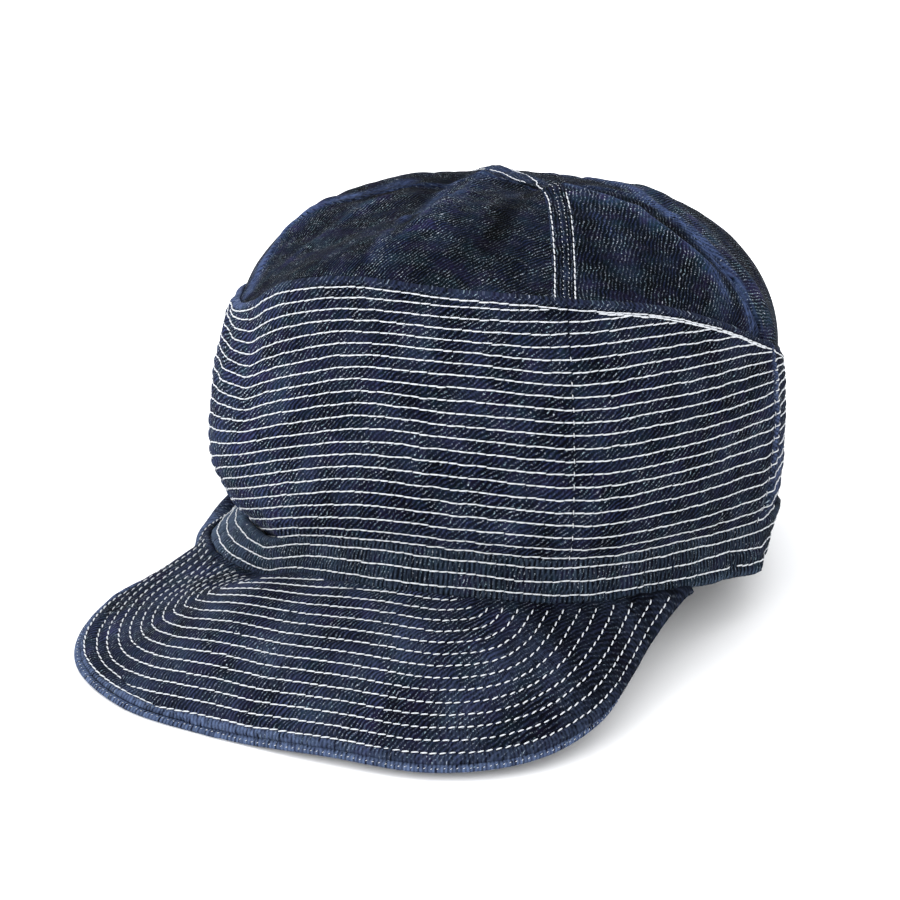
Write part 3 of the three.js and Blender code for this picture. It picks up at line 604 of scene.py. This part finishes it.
angle, height = np.meshgrid(np.arange(bottomBand["columns"]) * 360 / bottomBand["columns"],
                            np.linspace(0, bottomBand["height"], bottomBand["steps"]), indexing="ij")
away = np.min(np.abs(height[..., None] - np.array(bottomBand["rows"])), -1)
roll = bell(height / 0.8) + bell((bottomBand["height"] - height) / 0.8)
out = bottomBand["puff"] * pillow(away, 2.0) - bottomBand["sink"] - 0.5 * roll
out = out + 0.15 * bandRipple(angle, height, 9, 21)
out = out + 0.1 * np.cos(angle / 360 * math.tau * bottomBand["gathers"])
out = out - 0.5 * bell(wrapped(angle - 48) * cap["perDegree"] / 0.9)   # the join
outer = stand(bandPoint(angle, height, out))
inner = stand(bandPoint(angle, height, -bottomBand["wall"]))
outer[..., 2], inner[..., 2] = np.maximum(outer[..., 2], 0), np.maximum(inner[..., 2], 0)
turned = wrapped(angle)
wear = 0.04 + 0.3 * bell(height / 1.2) + 0.12 * bell((bottomBand["height"] - height) / 1.0)
wear = wear + 0.3 * ramp(turned, -36, -50) * ramp(turned, -104, -92)   # the flare at the right has rubbed
wear = wear + 0.06 * bandRipple(angle, height, 15, 23)
# painted light and shade as on the side band, a little weaker, with ripples of uneven tone
shade = 0.7 * paintedSideLight(angle) + 0.3 * bandRipple(angle, height, 26, 24)
values = {"wear": np.clip(wear, 0, 1), "run": angle * cap["perDegree"] * 0.75,
          "shade": np.clip(shade, -1, 1)}
piece = clothShell("bottomBand", outer, inner, stack(np.radians(angle) * 96, height), values,
                   bottomBandDenim, closed=True)
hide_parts("bottom_band")

rows = []
for k, level in enumerate(bottomBand["rows"]):
    angle = np.arange(0, 360.1, 0.25)
    path, normal = bandPath(angle, level + 0.25 * bandRipple(angle, 0, 40, 30 + k))
    path[:, 2] = np.maximum(path[:, 2], 0.5)
    rows.append(stitchRow(path, normal, seed=200 + k))
piece = joinStitches("bottomBandStitches", rows)
print("bottom band made")


# crown

crown = {
    "wall": 1.8, "tuck": 0.8, "inset": 2.3, "steps": 96, "degrees": 0.75,
    "middle": np.array([14.0, 4.0, 126.0]),
    "sections": table("angle lean rise spread crest", [
        (-180, 0, 29, 57, -1), (-135, -4, 20, 71, 5), (-90, -13, 41, 57, 4), (-62, -5, 26, 51.5, 5),
        (-40, -11, 15, 44, 6), (0, -12, 12, 40, 7), (50, -21, 3, 33, 11), (90, 2, 16, 37, 7),
        (140, 6.5, 39, 44, 2)]),
    "folds": table("startX startY endX endY halfWidth height", [
        (-10, 4, 11, -58, 7, 2), (-20, 0, 0, -60, 6, -1.6), (-50, -17, -24, -6, 9, -2.4),
        (-64, -53, -62, -19, 7, 1.8), (29, -3, 80, 3, 6, 2), (36, 8, 78, 11, 6, -2),
        (24, 40, 88, 24, 8, 2), (-8, 40, -20, 84, 8, -1.8)]),
    "fineFolds": table("startX startY endX endY halfWidth height", [
        (-9, 2, 4, -40, 2.6, 0.9), (4, -40, 13, -88, 3.0, 0.7), (-18, -3, -4, -52, 2.6, 0.9),
        (-4, -52, 8, -86, 3.0, 0.6), (-30, -6, -44, -62, 3.4, 0.7), (28, -3, 54, 3, 2.4, 1.0),
        (54, 3, 86, 2, 2.8, 0.8), (12, 36, 56, 21, 2.6, 1.2), (56, 21, 90, 13, 2.6, 1.0),
        (20, -14, 34, -60, 3.4, -0.7), (34, -8, 62, -22, 3.2, 0.6), (-54, -73, -64, -52, 2.4, 1.1),
        (-64, -52, -63, -20, 2.6, 0.9), (-12, 20, -52, 44, 3.4, 0.8), (2, 30, 14, 82, 3.4, 0.8),
        (-40, 20, -78, 30, 3.2, 0.7), (30, 40, 52, 66, 3.2, 0.7)]),
    # pale lines where folds have rubbed
    "rubbed": table("startX startY endX endY halfWidth strength", [
        (-53, -75, -64, -53, 2.2, 0.8), (-64, -53, -63, -30, 2.2, 0.8), (-63, -30, -54, -14, 2.4, 0.7),
        (-54, -14, -36, -4, 3.0, 0.4), (29, -3, 53, 4, 1.8, 0.6), (53, 4, 73, 4, 2.0, 0.6),
        (73, 4, 87, 2, 2.0, 0.5), (10, 37, 55, 20, 2.0, 0.7), (55, 20, 69, 17, 2.2, 0.8),
        (69, 17, 91, 11, 2.4, 0.8), (-9, 2, 4, -40, 2.0, 0.25), (-18, -3, -4, -52, 2.0, 0.3),
        (-4, -52, 8, -86, 2.4, 0.2), (-12, 20, -52, 44, 3.0, 0.3), (2, 30, 14, 82, 3.0, 0.3)]),
    "seams": {
        "front": table("along angle", [(0, 48), (0.3, 50), (1, 50)]),
        "left": table("along angle", [(0, 101), (0.25, 98), (0.5, 104), (0.75, 122), (1, 135)]),
        "back": table("along angle", [(0, 232.8), (0.5, 234.4), (0.7, 237.5), (0.86, 243), (1, 248)]),
        "right": table("along angle", [(0, 320), (0.2, 310), (0.4, 295), (0.7, 284), (1, 280)])},
    "panels": {   # node, first and last seam, and where its weave points
        "crownPanelFront": ("crown_panel_front", "right", "front", 0),
        "crownPanelLeft": ("crown_panel_left", "front", "left", 40),
        "crownPanelBack": ("crown_panel_back", "left", "back", 180),
        "crownPanelRight": ("crown_panel_right", "back", "right", 270)},
}


def crownPoint(angle, along):
    angle, along = np.broadcast_arrays(angle, along)
    a, t = np.radians(angle), along[..., None]
    lean, rise, spread, crest = (around(crown["sections"], column, angle)
                                 for column in ("lean", "rise", "spread", "crest"))
    start = bandPoint(angle, bandTop(angle) - crown["tuck"], -crown["inset"])
    n = ovalNormal(angle)
    first = start + stack(n[..., 0] * lean, n[..., 1] * lean, rise)
    middle = crown["middle"]
    second = middle + stack(np.sin(a) * spread, -np.cos(a) * spread, crest)
    p = (1 - t)**3 * start + 3 * (1 - t)**2 * t * first + 3 * (1 - t) * t**2 * second + t**3 * middle
    free = np.minimum(1, t[..., 0] / 0.3)
    x, y = p[..., 0], p[..., 1]
    soft = lineHeights(crown["folds"], x, y) + lineHeights(crown["fineFolds"], x, y)
    p[..., 2] += (soft + 0.35 * ripple(x, y, 16, 41) + 0.16 * ripple(x, y, 7, 42)) * free**2
    return p


def seamAngle(seam, along):
    return through(crown["seams"][seam], "angle", along)


for name, (node, fromSeam, toSeam, middleAngle) in crown["panels"].items():
    along = np.linspace(0, 1, crown["steps"] + 1)**0.92 * 0.985
    start = seamAngle(fromSeam, along)
    across = (seamAngle(toSeam, along) - start) % 360
    columns = round(across[0] / crown["degrees"]) + 1
    share = np.linspace(0, 1, columns)[:, None]
    width = np.linalg.norm(crownPoint(start + 1, along) - crownPoint(start, along), axis=-1) * across
    inset = np.minimum(0.12 / np.maximum(width, 1), 0.2)
    angle = start + across * (inset + share * (1 - 2 * inset))
    plan = crownPoint(angle, along)
    surface = stand(plan)
    normals = gridNormals(surface)
    edge = np.minimum(share, 1 - share) * width
    plain = 1.0 - 0.5 * (fromSeam == "front") - 0.5 * (toSeam == "front")
    outer = surface + normals * (0.35 * bell((edge - 2.4) / 1.6) - 0.9 * bell(edge / 0.9))[..., None]
    inner = surface - normals * crown["wall"]
    reach = np.linalg.norm(np.diff(surface, axis=1), axis=-1)
    reach = np.concatenate([np.cumsum(reach[:, ::-1], 1)[:, ::-1], np.zeros((columns, 1))], 1) + 2
    turn = np.radians(angle - middleAngle)
    x, y = plan[..., 0], plan[..., 1]
    wear = 0.8 * lineHeights(crown["rubbed"], x, y)
    wear = wear + 0.2 * bell((edge - 1.6) / 1.2) * plain + 0.05 * ripple(x, y, 18, 44)
    # fold crests painted lighter and fold hollows darker: partly real fading on the crests, partly painted
    # shade in the hollows
    foldFadeAndShade = lineHeights(crown["folds"], x, y) / 1.5 + 1.5 * lineHeights(crown["fineFolds"], x, y)
    toRight = -0.81 * x - 0.58 * y   # mm towards the wearer's right and front
    # painted light: a little lighter towards the wearer's right; the ripple is uneven tone
    foldFadeAndShade = foldFadeAndShade + 0.1 * ramp(toRight, 38, 72) + 0.3 * ripple(x, y, 24, 45)
    values = {"wear": np.clip(wear, 0, 1), "run": angle * 1.2, "shade": np.clip(foldFadeAndShade, -1.2, 1.3)}
    cloth = stack(reach * np.sin(turn), -reach * np.cos(turn))
    panel = clothShell(name, outer, inner, cloth, values, crownDenim)
    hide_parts(node)
print("crown made")


# flat seam over the crown

seamStrip = {
    "halfWidth": 4.2, "stitchOffset": 3.35, "thick": 0.85, "under": 0.5, "columns": 21, "points": 341,
    "side": 3.0,   # mm from the middle line to the side lines that span the strip
    "poleAlong": 0.86,   # from here on the strip goes straight over the middle, at this angle
    "poleAngle": 50,
    "aside": -4.6,   # behind the middle it runs on a little to the side
    "rowStitch": {"pitch": 3.3, "radius": 0.25},
    "innerStitch": {"pitch": 2.6, "radius": 0.12, "fill": 0.25},
}


def crownNearMiddle(x, y):   # the place on the crown that lies at x, y from its middle, seen from above
    angle = np.degrees(np.arctan2(x, -y))
    wanted = np.hypot(x, y)
    low, high = np.full(x.shape, 0.5), np.ones(x.shape)
    for _ in range(26):
        tried = (low + high) / 2
        p = crownPoint(angle, tried)
        far = np.hypot(p[..., 0] - crown["middle"][0], p[..., 1] - crown["middle"][1]) > wanted
        low, high = np.where(far, tried, low), np.where(far, high, tried)
    return crownPoint(angle, low)


def smoothed(p, times):
    for _ in range(times):
        p = p.copy()
        p[1:-1] = (p[:-2] + 2 * p[1:-1] + p[2:]) / 4
    return p


def seamSide(side):   # a line over the crown beside the seam, from front to back
    parts = []
    for seam, way in (("front", 1), ("back", -1)):
        along = np.linspace(0.004, seamStrip["poleAlong"], 150)
        centre = seamAngle(seam, along)
        degree = np.linalg.norm(crownPoint(centre + 0.5, along) - crownPoint(centre - 0.5, along), axis=-1)
        parts.append(crownPoint(centre + way * side / degree, along))
    a = math.radians(seamStrip["poleAngle"])
    ahead = np.array([math.sin(a), -math.cos(a)])
    first, last = (np.dot(part[-1, :2] - crown["middle"][:2], ahead) for part in parts)
    distance = np.linspace(first, last, 42)[1:-1]
    aside = side + seamStrip["aside"] * ramp(distance, 6, -8)
    x, y = ahead[0] * distance - ahead[1] * aside, ahead[1] * distance + ahead[0] * aside
    line = np.concatenate([parts[0], crownNearMiddle(x, y), parts[1][::-1]])
    run = runAlong(line)
    even = np.linspace(0, run[-1], seamStrip["points"])   # so that smoothing is even
    return smoothed(sample(line, run, even), 16)


def seamPath(offset):   # the two side lines and the middle one span the strip
    side = seamStrip["side"]
    left, centre, right = (stand(seamSide(k * side)) for k in (1, 0, -1))
    share = offset[:, None] / side
    bend = (left + right) / 2 - centre
    return centre[:, None] + (left - right)[:, None] / 2 * share + bend[:, None] * share**2


halfWidth, stitchOffset = seamStrip["halfWidth"], seamStrip["stitchOffset"]
middleColumn = seamStrip["columns"] // 2
offsets = np.linspace(halfWidth, -halfWidth, seamStrip["columns"])
surface = seamPath(offsets)
up = gridNormals(surface)
fromSide = np.abs(offsets)
profile = (seamStrip["thick"] * (1 - bell((halfWidth - fromSide) / 0.7))
           - 0.35 * bell((fromSide - stitchOffset) / 0.5) + 0.3 * bell(offsets / 0.8))
run = runAlong(surface[:, middleColumn])[:, None]
toMiddle = surface[:, middleColumn] - stand(crown["middle"])
fromMiddle = run - run[np.argmin(np.linalg.norm(toMiddle, axis=1)), 0]
lift = profile + 0.12 * ripple(run, offsets * 2, 9, 51)
outer = surface + up * (lift + 0.1)[..., None]
inner = surface - up * seamStrip["under"]
wear = 0.16 * bell((fromSide - 4.1) / 0.5) + 0.12 * bell(offsets / 0.8)
wear = wear + 0.06 * ripple(run, offsets, 12, 53) + 0.3 * ramp(fromMiddle, 0, 20)
values = {"wear": np.clip(wear, 0, 1), "run": run + 0 * lift}
strip = clothShell("crownSeamStrip", outer, inner, stack(offsets, run), values, crownDenim, coarse=4)
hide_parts("crown_seam_strip")


def alongStrip(offset, sunk=0.0):   # a line on the strip, at an offset that may change along it
    column = np.interp(-offset, -offsets, np.arange(len(offsets))) + np.zeros(len(surface))
    i, low = np.arange(len(surface)), np.minimum(column.astype(int), len(offsets) - 2)
    share = (column - low)[:, None]
    blend = lambda g: g[i, low] * (1 - share) + g[i, low + 1] * share
    height = np.reshape(np.interp(-offset, -offsets, profile) - sunk, (-1, 1))
    return blend(surface) + blend(up) * height, unit(blend(up))


fromMiddle = fromMiddle[:, 0]
crossing = -stitchOffset + 2 * stitchOffset * ramp(fromMiddle, -6, 8)
fill = 0.84 + 0.14 * ramp(fromMiddle, -14, -6)
rows = []
for k, (offset, kept) in enumerate((
        (crossing, fromMiddle < np.inf),       # this row goes from front to back
        (stitchOffset, fromMiddle < -10.5),    # this one ends before the middle
        (-stitchOffset, fromMiddle > 2.5))):   # and this one starts behind it
    path, normal = alongStrip(offset)
    path = smoothed(path, 130) + normal * 0.7 * bell(fromMiddle / 9)[:, None]
    rows.append(stitchRow(path[kept], normal[kept], 300 + k, fill=fill[kept], **seamStrip["rowStitch"]))
for k, offset in enumerate((-0.6, 1.3)):   # faint inner rows where the seam is folded
    path, normal = alongStrip(offset, sunk=0.1)
    kept = fromMiddle < -11
    rows.append(stitchRow(path[kept], normal[kept], seed=310 + k, **seamStrip["innerStitch"]))
piece = joinStitches("crownSeamStitches", rows)
print("crown seam made")


# visor

visor = {
    "ply": 1.6, "gap": 0.3, "columns": 360, "steps": 104, "lip": 0.03, "puff": 0.7, "sink": 0.3,
    "firstRow": 5.0, "rowPitch": 4.2, "rowCount": 15, "nearer": 2.3,
    "rowStitch": {"pitch": 3.0, "radius": 0.28, "turn": 0.3},
    "lipStitch": {"pitch": 2.1, "radius": 0.12, "turn": 0.3, "fill": 0.3},
    "lastAngle": 77.5,   # where the plies end, under the band
    "sections": table("angle reach height bulge", [
        (-97, 94, 3, 0), (-90, 98, 6, 0), (-80, 105.5, 8, 0), (-71, 109.5, 6, 0), (-63, 111.5, 4, 0),
        (-53, 114, 1, 0.5), (-42, 144, -3, 3.5), (-30, 162, -4, 8), (-18, 162.5, -3, 7),
        (-5, 152.5, 0.5, 6.5), (10, 146.5, 4, 5), (25, 145, 4, 5), (38, 138.5, 6, 5), (48, 126, 10, 5),
        (57, 107.5, 15, 4), (64, 98, 20, 3), (72, 92, 24, 1), (80, 88.5, 26, 0)]),
    "waves": table("bandAngle edgeAngle halfWidth height", [
        (-42, -24, 9, -4), (-22, -8, 10, 2.5), (44, 30, 10, -1.5)]),
}
visorHalf = visor["gap"] / 2 + visor["ply"]   # half the thickness


def visorPoint(angle, along):
    angle, along = np.broadcast_arrays(angle, along)
    a, t = np.radians(angle), along[..., None]
    inner = stand(bandPoint(angle, 0.0, visor["gap"]))
    inner[..., 2] = np.maximum(inner[..., 2] - visorHalf / 2, visorHalf)
    reach, height, rise = (through(visor["sections"], column, angle)
                           for column in ("reach", "height", "bulge"))
    reach = np.maximum(reach, np.hypot(inner[..., 0], inner[..., 1]) + 1)
    edge = stack(np.sin(a) * reach, -np.cos(a) * reach, height)
    p = inner + (edge - inner) * t
    for bandAngle, edgeAngle, halfWidth, lift in zip(*visor["waves"].values()):
        centre = bandAngle + (edgeAngle - bandAngle) * along
        rise = rise + lift * bell((angle - centre) / halfWidth)
    p[..., 2] = np.maximum(p[..., 2] + rise * (4 * along * (1 - along)), visorHalf)
    return p


firstAngle, lastAngle = visor["sections"]["angle"][0], visor["lastAngle"]
edgeAngles = np.linspace(firstAngle, lastAngle, 1400)
edgeLine = visorPoint(edgeAngles, 1.0)
edgeRun = runAlong(edgeLine)


def visorFace(angle, along):
    # with each place's distance from the outer edge, the run to the nearest edge point, and the normal
    face = visorPoint(angle, along)
    away, run = np.empty(face.shape[:2]), np.empty(face.shape[:2])
    for k in range(len(face)):
        gaps = np.linalg.norm(face[k][:, None] - edgeLine[None], axis=-1)
        away[k], run[k] = gaps.min(1), edgeRun[gaps.argmin(1)]
    return face, away, run, gridNormals(face)


def firstRowAt(run):   # the rows lie nearer to the edge at the wearer's right
    angle = np.interp(run, edgeRun, edgeAngles)
    return visor["firstRow"] - visor["nearer"] * bell((angle + 36) / 20)


def fromRow(away, run):   # distance from the nearest stitch row
    rowAt = (away - firstRowAt(run)) / visor["rowPitch"]
    return np.abs(rowAt - np.clip(np.round(rowAt), 0, visor["rowCount"] - 1)) * visor["rowPitch"]


angle = np.linspace(firstAngle, lastAngle, visor["columns"])[:, None]
along = np.linspace(1 - visor["lip"], 0, visor["steps"] + 1)
middleFace, away, run, normals = visorFace(angle, along)
x, y = middleFace[..., 0], middleFace[..., 1]
depth = np.linalg.norm(visorPoint(angle, 1.0) - visorPoint(angle, 0.0), axis=-1)
soft = ramp(depth, 0, 12)   # the cloth lies flat where the visor is narrow
cushion = pillow(fromRow(away, run), 2.1)
puff = np.where(away < firstRowAt(run), 1.15, 1.0) * visor["puff"] * cushion - visor["sink"]
puff = puff + 0.2 * ripple(x, y, 14, 61) + 0.08 * ripple(x, y, 5, 62)
edgeRoll = -0.9 * bell((along - 1 + visor["lip"]) * depth / 0.9)
outer = middleFace + normals * (visorHalf + puff * soft + edgeRoll)[..., None]
inner = middleFace + np.array([0, 0, visor["gap"] / 2])
# the wearer's right and the front of the edge are worn most
worn = 0.14 * ramp(angle, 58, 44) + 0.42 * ramp(angle, 22, -3)
edgeWear = (0.02 + worn * ramp(angle, -76, -62)) * ramp(away - firstRowAt(run), 0.4, -1.2)
crest = 0.02 + 0.07 * ripple(x, y, 26, 64) + 0.03 * cushion
# painted shade: darker over the visor's part at the wearer's left and at its other end by the band; the
# ripple is uneven tone
shade = 0.35 * ripple(x, y, 24, 65) - 1.3 * ramp(angle, 26, 51) - 0.5 * ramp(angle, -68, -80)
values = {"wear": np.clip(np.maximum(edgeWear, crest), 0, 1), "run": run, "shade": np.clip(shade, -1.2, 1)}
piece = clothShell("visorTop", outer, inner, stack(x, y), values, visorDenim)
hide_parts("visor_top")

# the under ply stands out past the top one as a narrow lip with a scalloped outline
along = np.linspace(1, 0, visor["steps"] // 2 + 1)
middleFace, away, run, normals = visorFace(angle, along)
tip = ramp(away, 2.2, 1.0) * soft
upper = middleFace + stack(0, 0, 0.35 * tip - visor["gap"] / 2)
hollow = (0.4 * pillow(fromRow(away, run), 2.1) - 0.4) * soft
lower = middleFace - normals * (visorHalf + hollow)[..., None]
lower[..., 2] = np.maximum(lower[..., 2], 0.0)
upper[..., 2] = np.maximum(upper[..., 2], lower[..., 2] + 0.8)
lipWear = 0.5 * ramp(away, 3, 1) * (1 - 0.85 * ramp(angle, 45, 60)) * ramp(angle, -76, -62)
values = {"wear": np.clip(0.1 + lipWear, 0, 1), "run": run}
cloth = stack(middleFace[..., 0], middleFace[..., 1])
piece = clothShell("visorUnder", upper, lower, cloth, values, visorDenim, coarse=1)
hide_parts("visor_under")

# stitch rows keep their distance from the outer edge
fineAngle = np.linspace(firstAngle + 4, lastAngle - 3, 520)
fineAlong = np.linspace(1, 0, 90)
face, distance, run, up = visorFace(fineAngle[:, None], fineAlong)
distance = np.maximum.accumulate(distance - firstRowAt(run) + visor["firstRow"], 1)
rows = []
for k in range(visor["rowCount"]):
    wanted = visor["firstRow"] + visor["rowPitch"] * k
    wide = np.flatnonzero(distance[:, -1] > wanted + 0.9)   # where this row finds room
    if len(wide) > 10:
        kept = fineAngle[wide]
        along = np.array([np.interp(wanted, distance[i], fineAlong) for i in wide])
        normal = unit(up[wide, [np.searchsorted(distance[i], wanted) for i in wide]])
        path = visorPoint(kept, along) + normal * (visorHalf - visor["sink"] + 0.05)
        fill = 0.96 - 0.3 * ramp(kept, 8, 33) - 0.28 * ramp(kept, -14, -40)
        rows.append(stitchRow(path, normal, seed=400 + k, fill=fill, **visor["rowStitch"]))
piece = joinStitches("visorStitches", rows)

# small stitches over the lip
edgeOut = unit(edgeLine - visorPoint(edgeAngles, 0.97))
path, normal = edgeLine - edgeOut * 0.5, unit(edgeOut + np.array([0, 0, 0.9]))
row = stitchRow(path[30:-30], normal[30:-30], seed=470, **visor["lipStitch"])
piece = joinStitches("visorLipStitches", [row])
print("visor made")


# floor, light and camera

studio = {"floor": "#fbfbfb", "world": "#f8f9fb", "worldStrength": 1.7,
          "lights": {"keyLight": ((-1.0, -0.2, 2.0), 2.0, 17.0),   # place, size and power
                     "fillLight": ((-0.4, -1.9, 1.0), 1.4, 14.0)}}

floorMaterial, tree, bsdf = startMaterial("matteStudioPaper")   # matte studio paper on a flat plane, no gloss
setInputs(tree, bsdf, {"Base Color": linear(studio["floor"]), "Roughness": 0.95, "Specular IOR Level": 0.1})
bpy.ops.mesh.primitive_plane_add(size=14)
floor = bpy.context.object
floor.name = "floor"
floor.data.materials.append(floorMaterial)

world = bpy.data.worlds.new("studio")
scene.world = world
world.use_nodes = True
setInputs(world.node_tree, world.node_tree.nodes["Background"],
          {"Color": linear(studio["world"]), "Strength": studio["worldStrength"]})


def aimed(name, data, at, to):   # an object that faces a place
    made = bpy.data.objects.new(name, data)
    made.location = at
    made.rotation_euler = (Vector(to) - Vector(at)).to_track_quat("-Z", "Y").to_euler()
    scene.collection.objects.link(made)
    return made


for name, (at, size, power) in studio["lights"].items():
    data = bpy.data.lights.new(name, "AREA")
    data.shape, data.size, data.energy = "DISK", size, power
    aimed(name, data, at, (0, 0, 0.05))

view = {"at": (537.1, -802.6, 537.0), "to": (-14.8, -14.4, 46.7), "lens": 123.2}
data = bpy.data.cameras.new("camera")
data.lens, data.sensor_width = view["lens"], 36
seat, aim = ((np.array(view[k]) + shift) / 1000 for k in ("at", "to"))
scene.camera = aimed("camera", data, seat, aim)
scene.view_settings.view_transform = "Standard"
print("studio made")
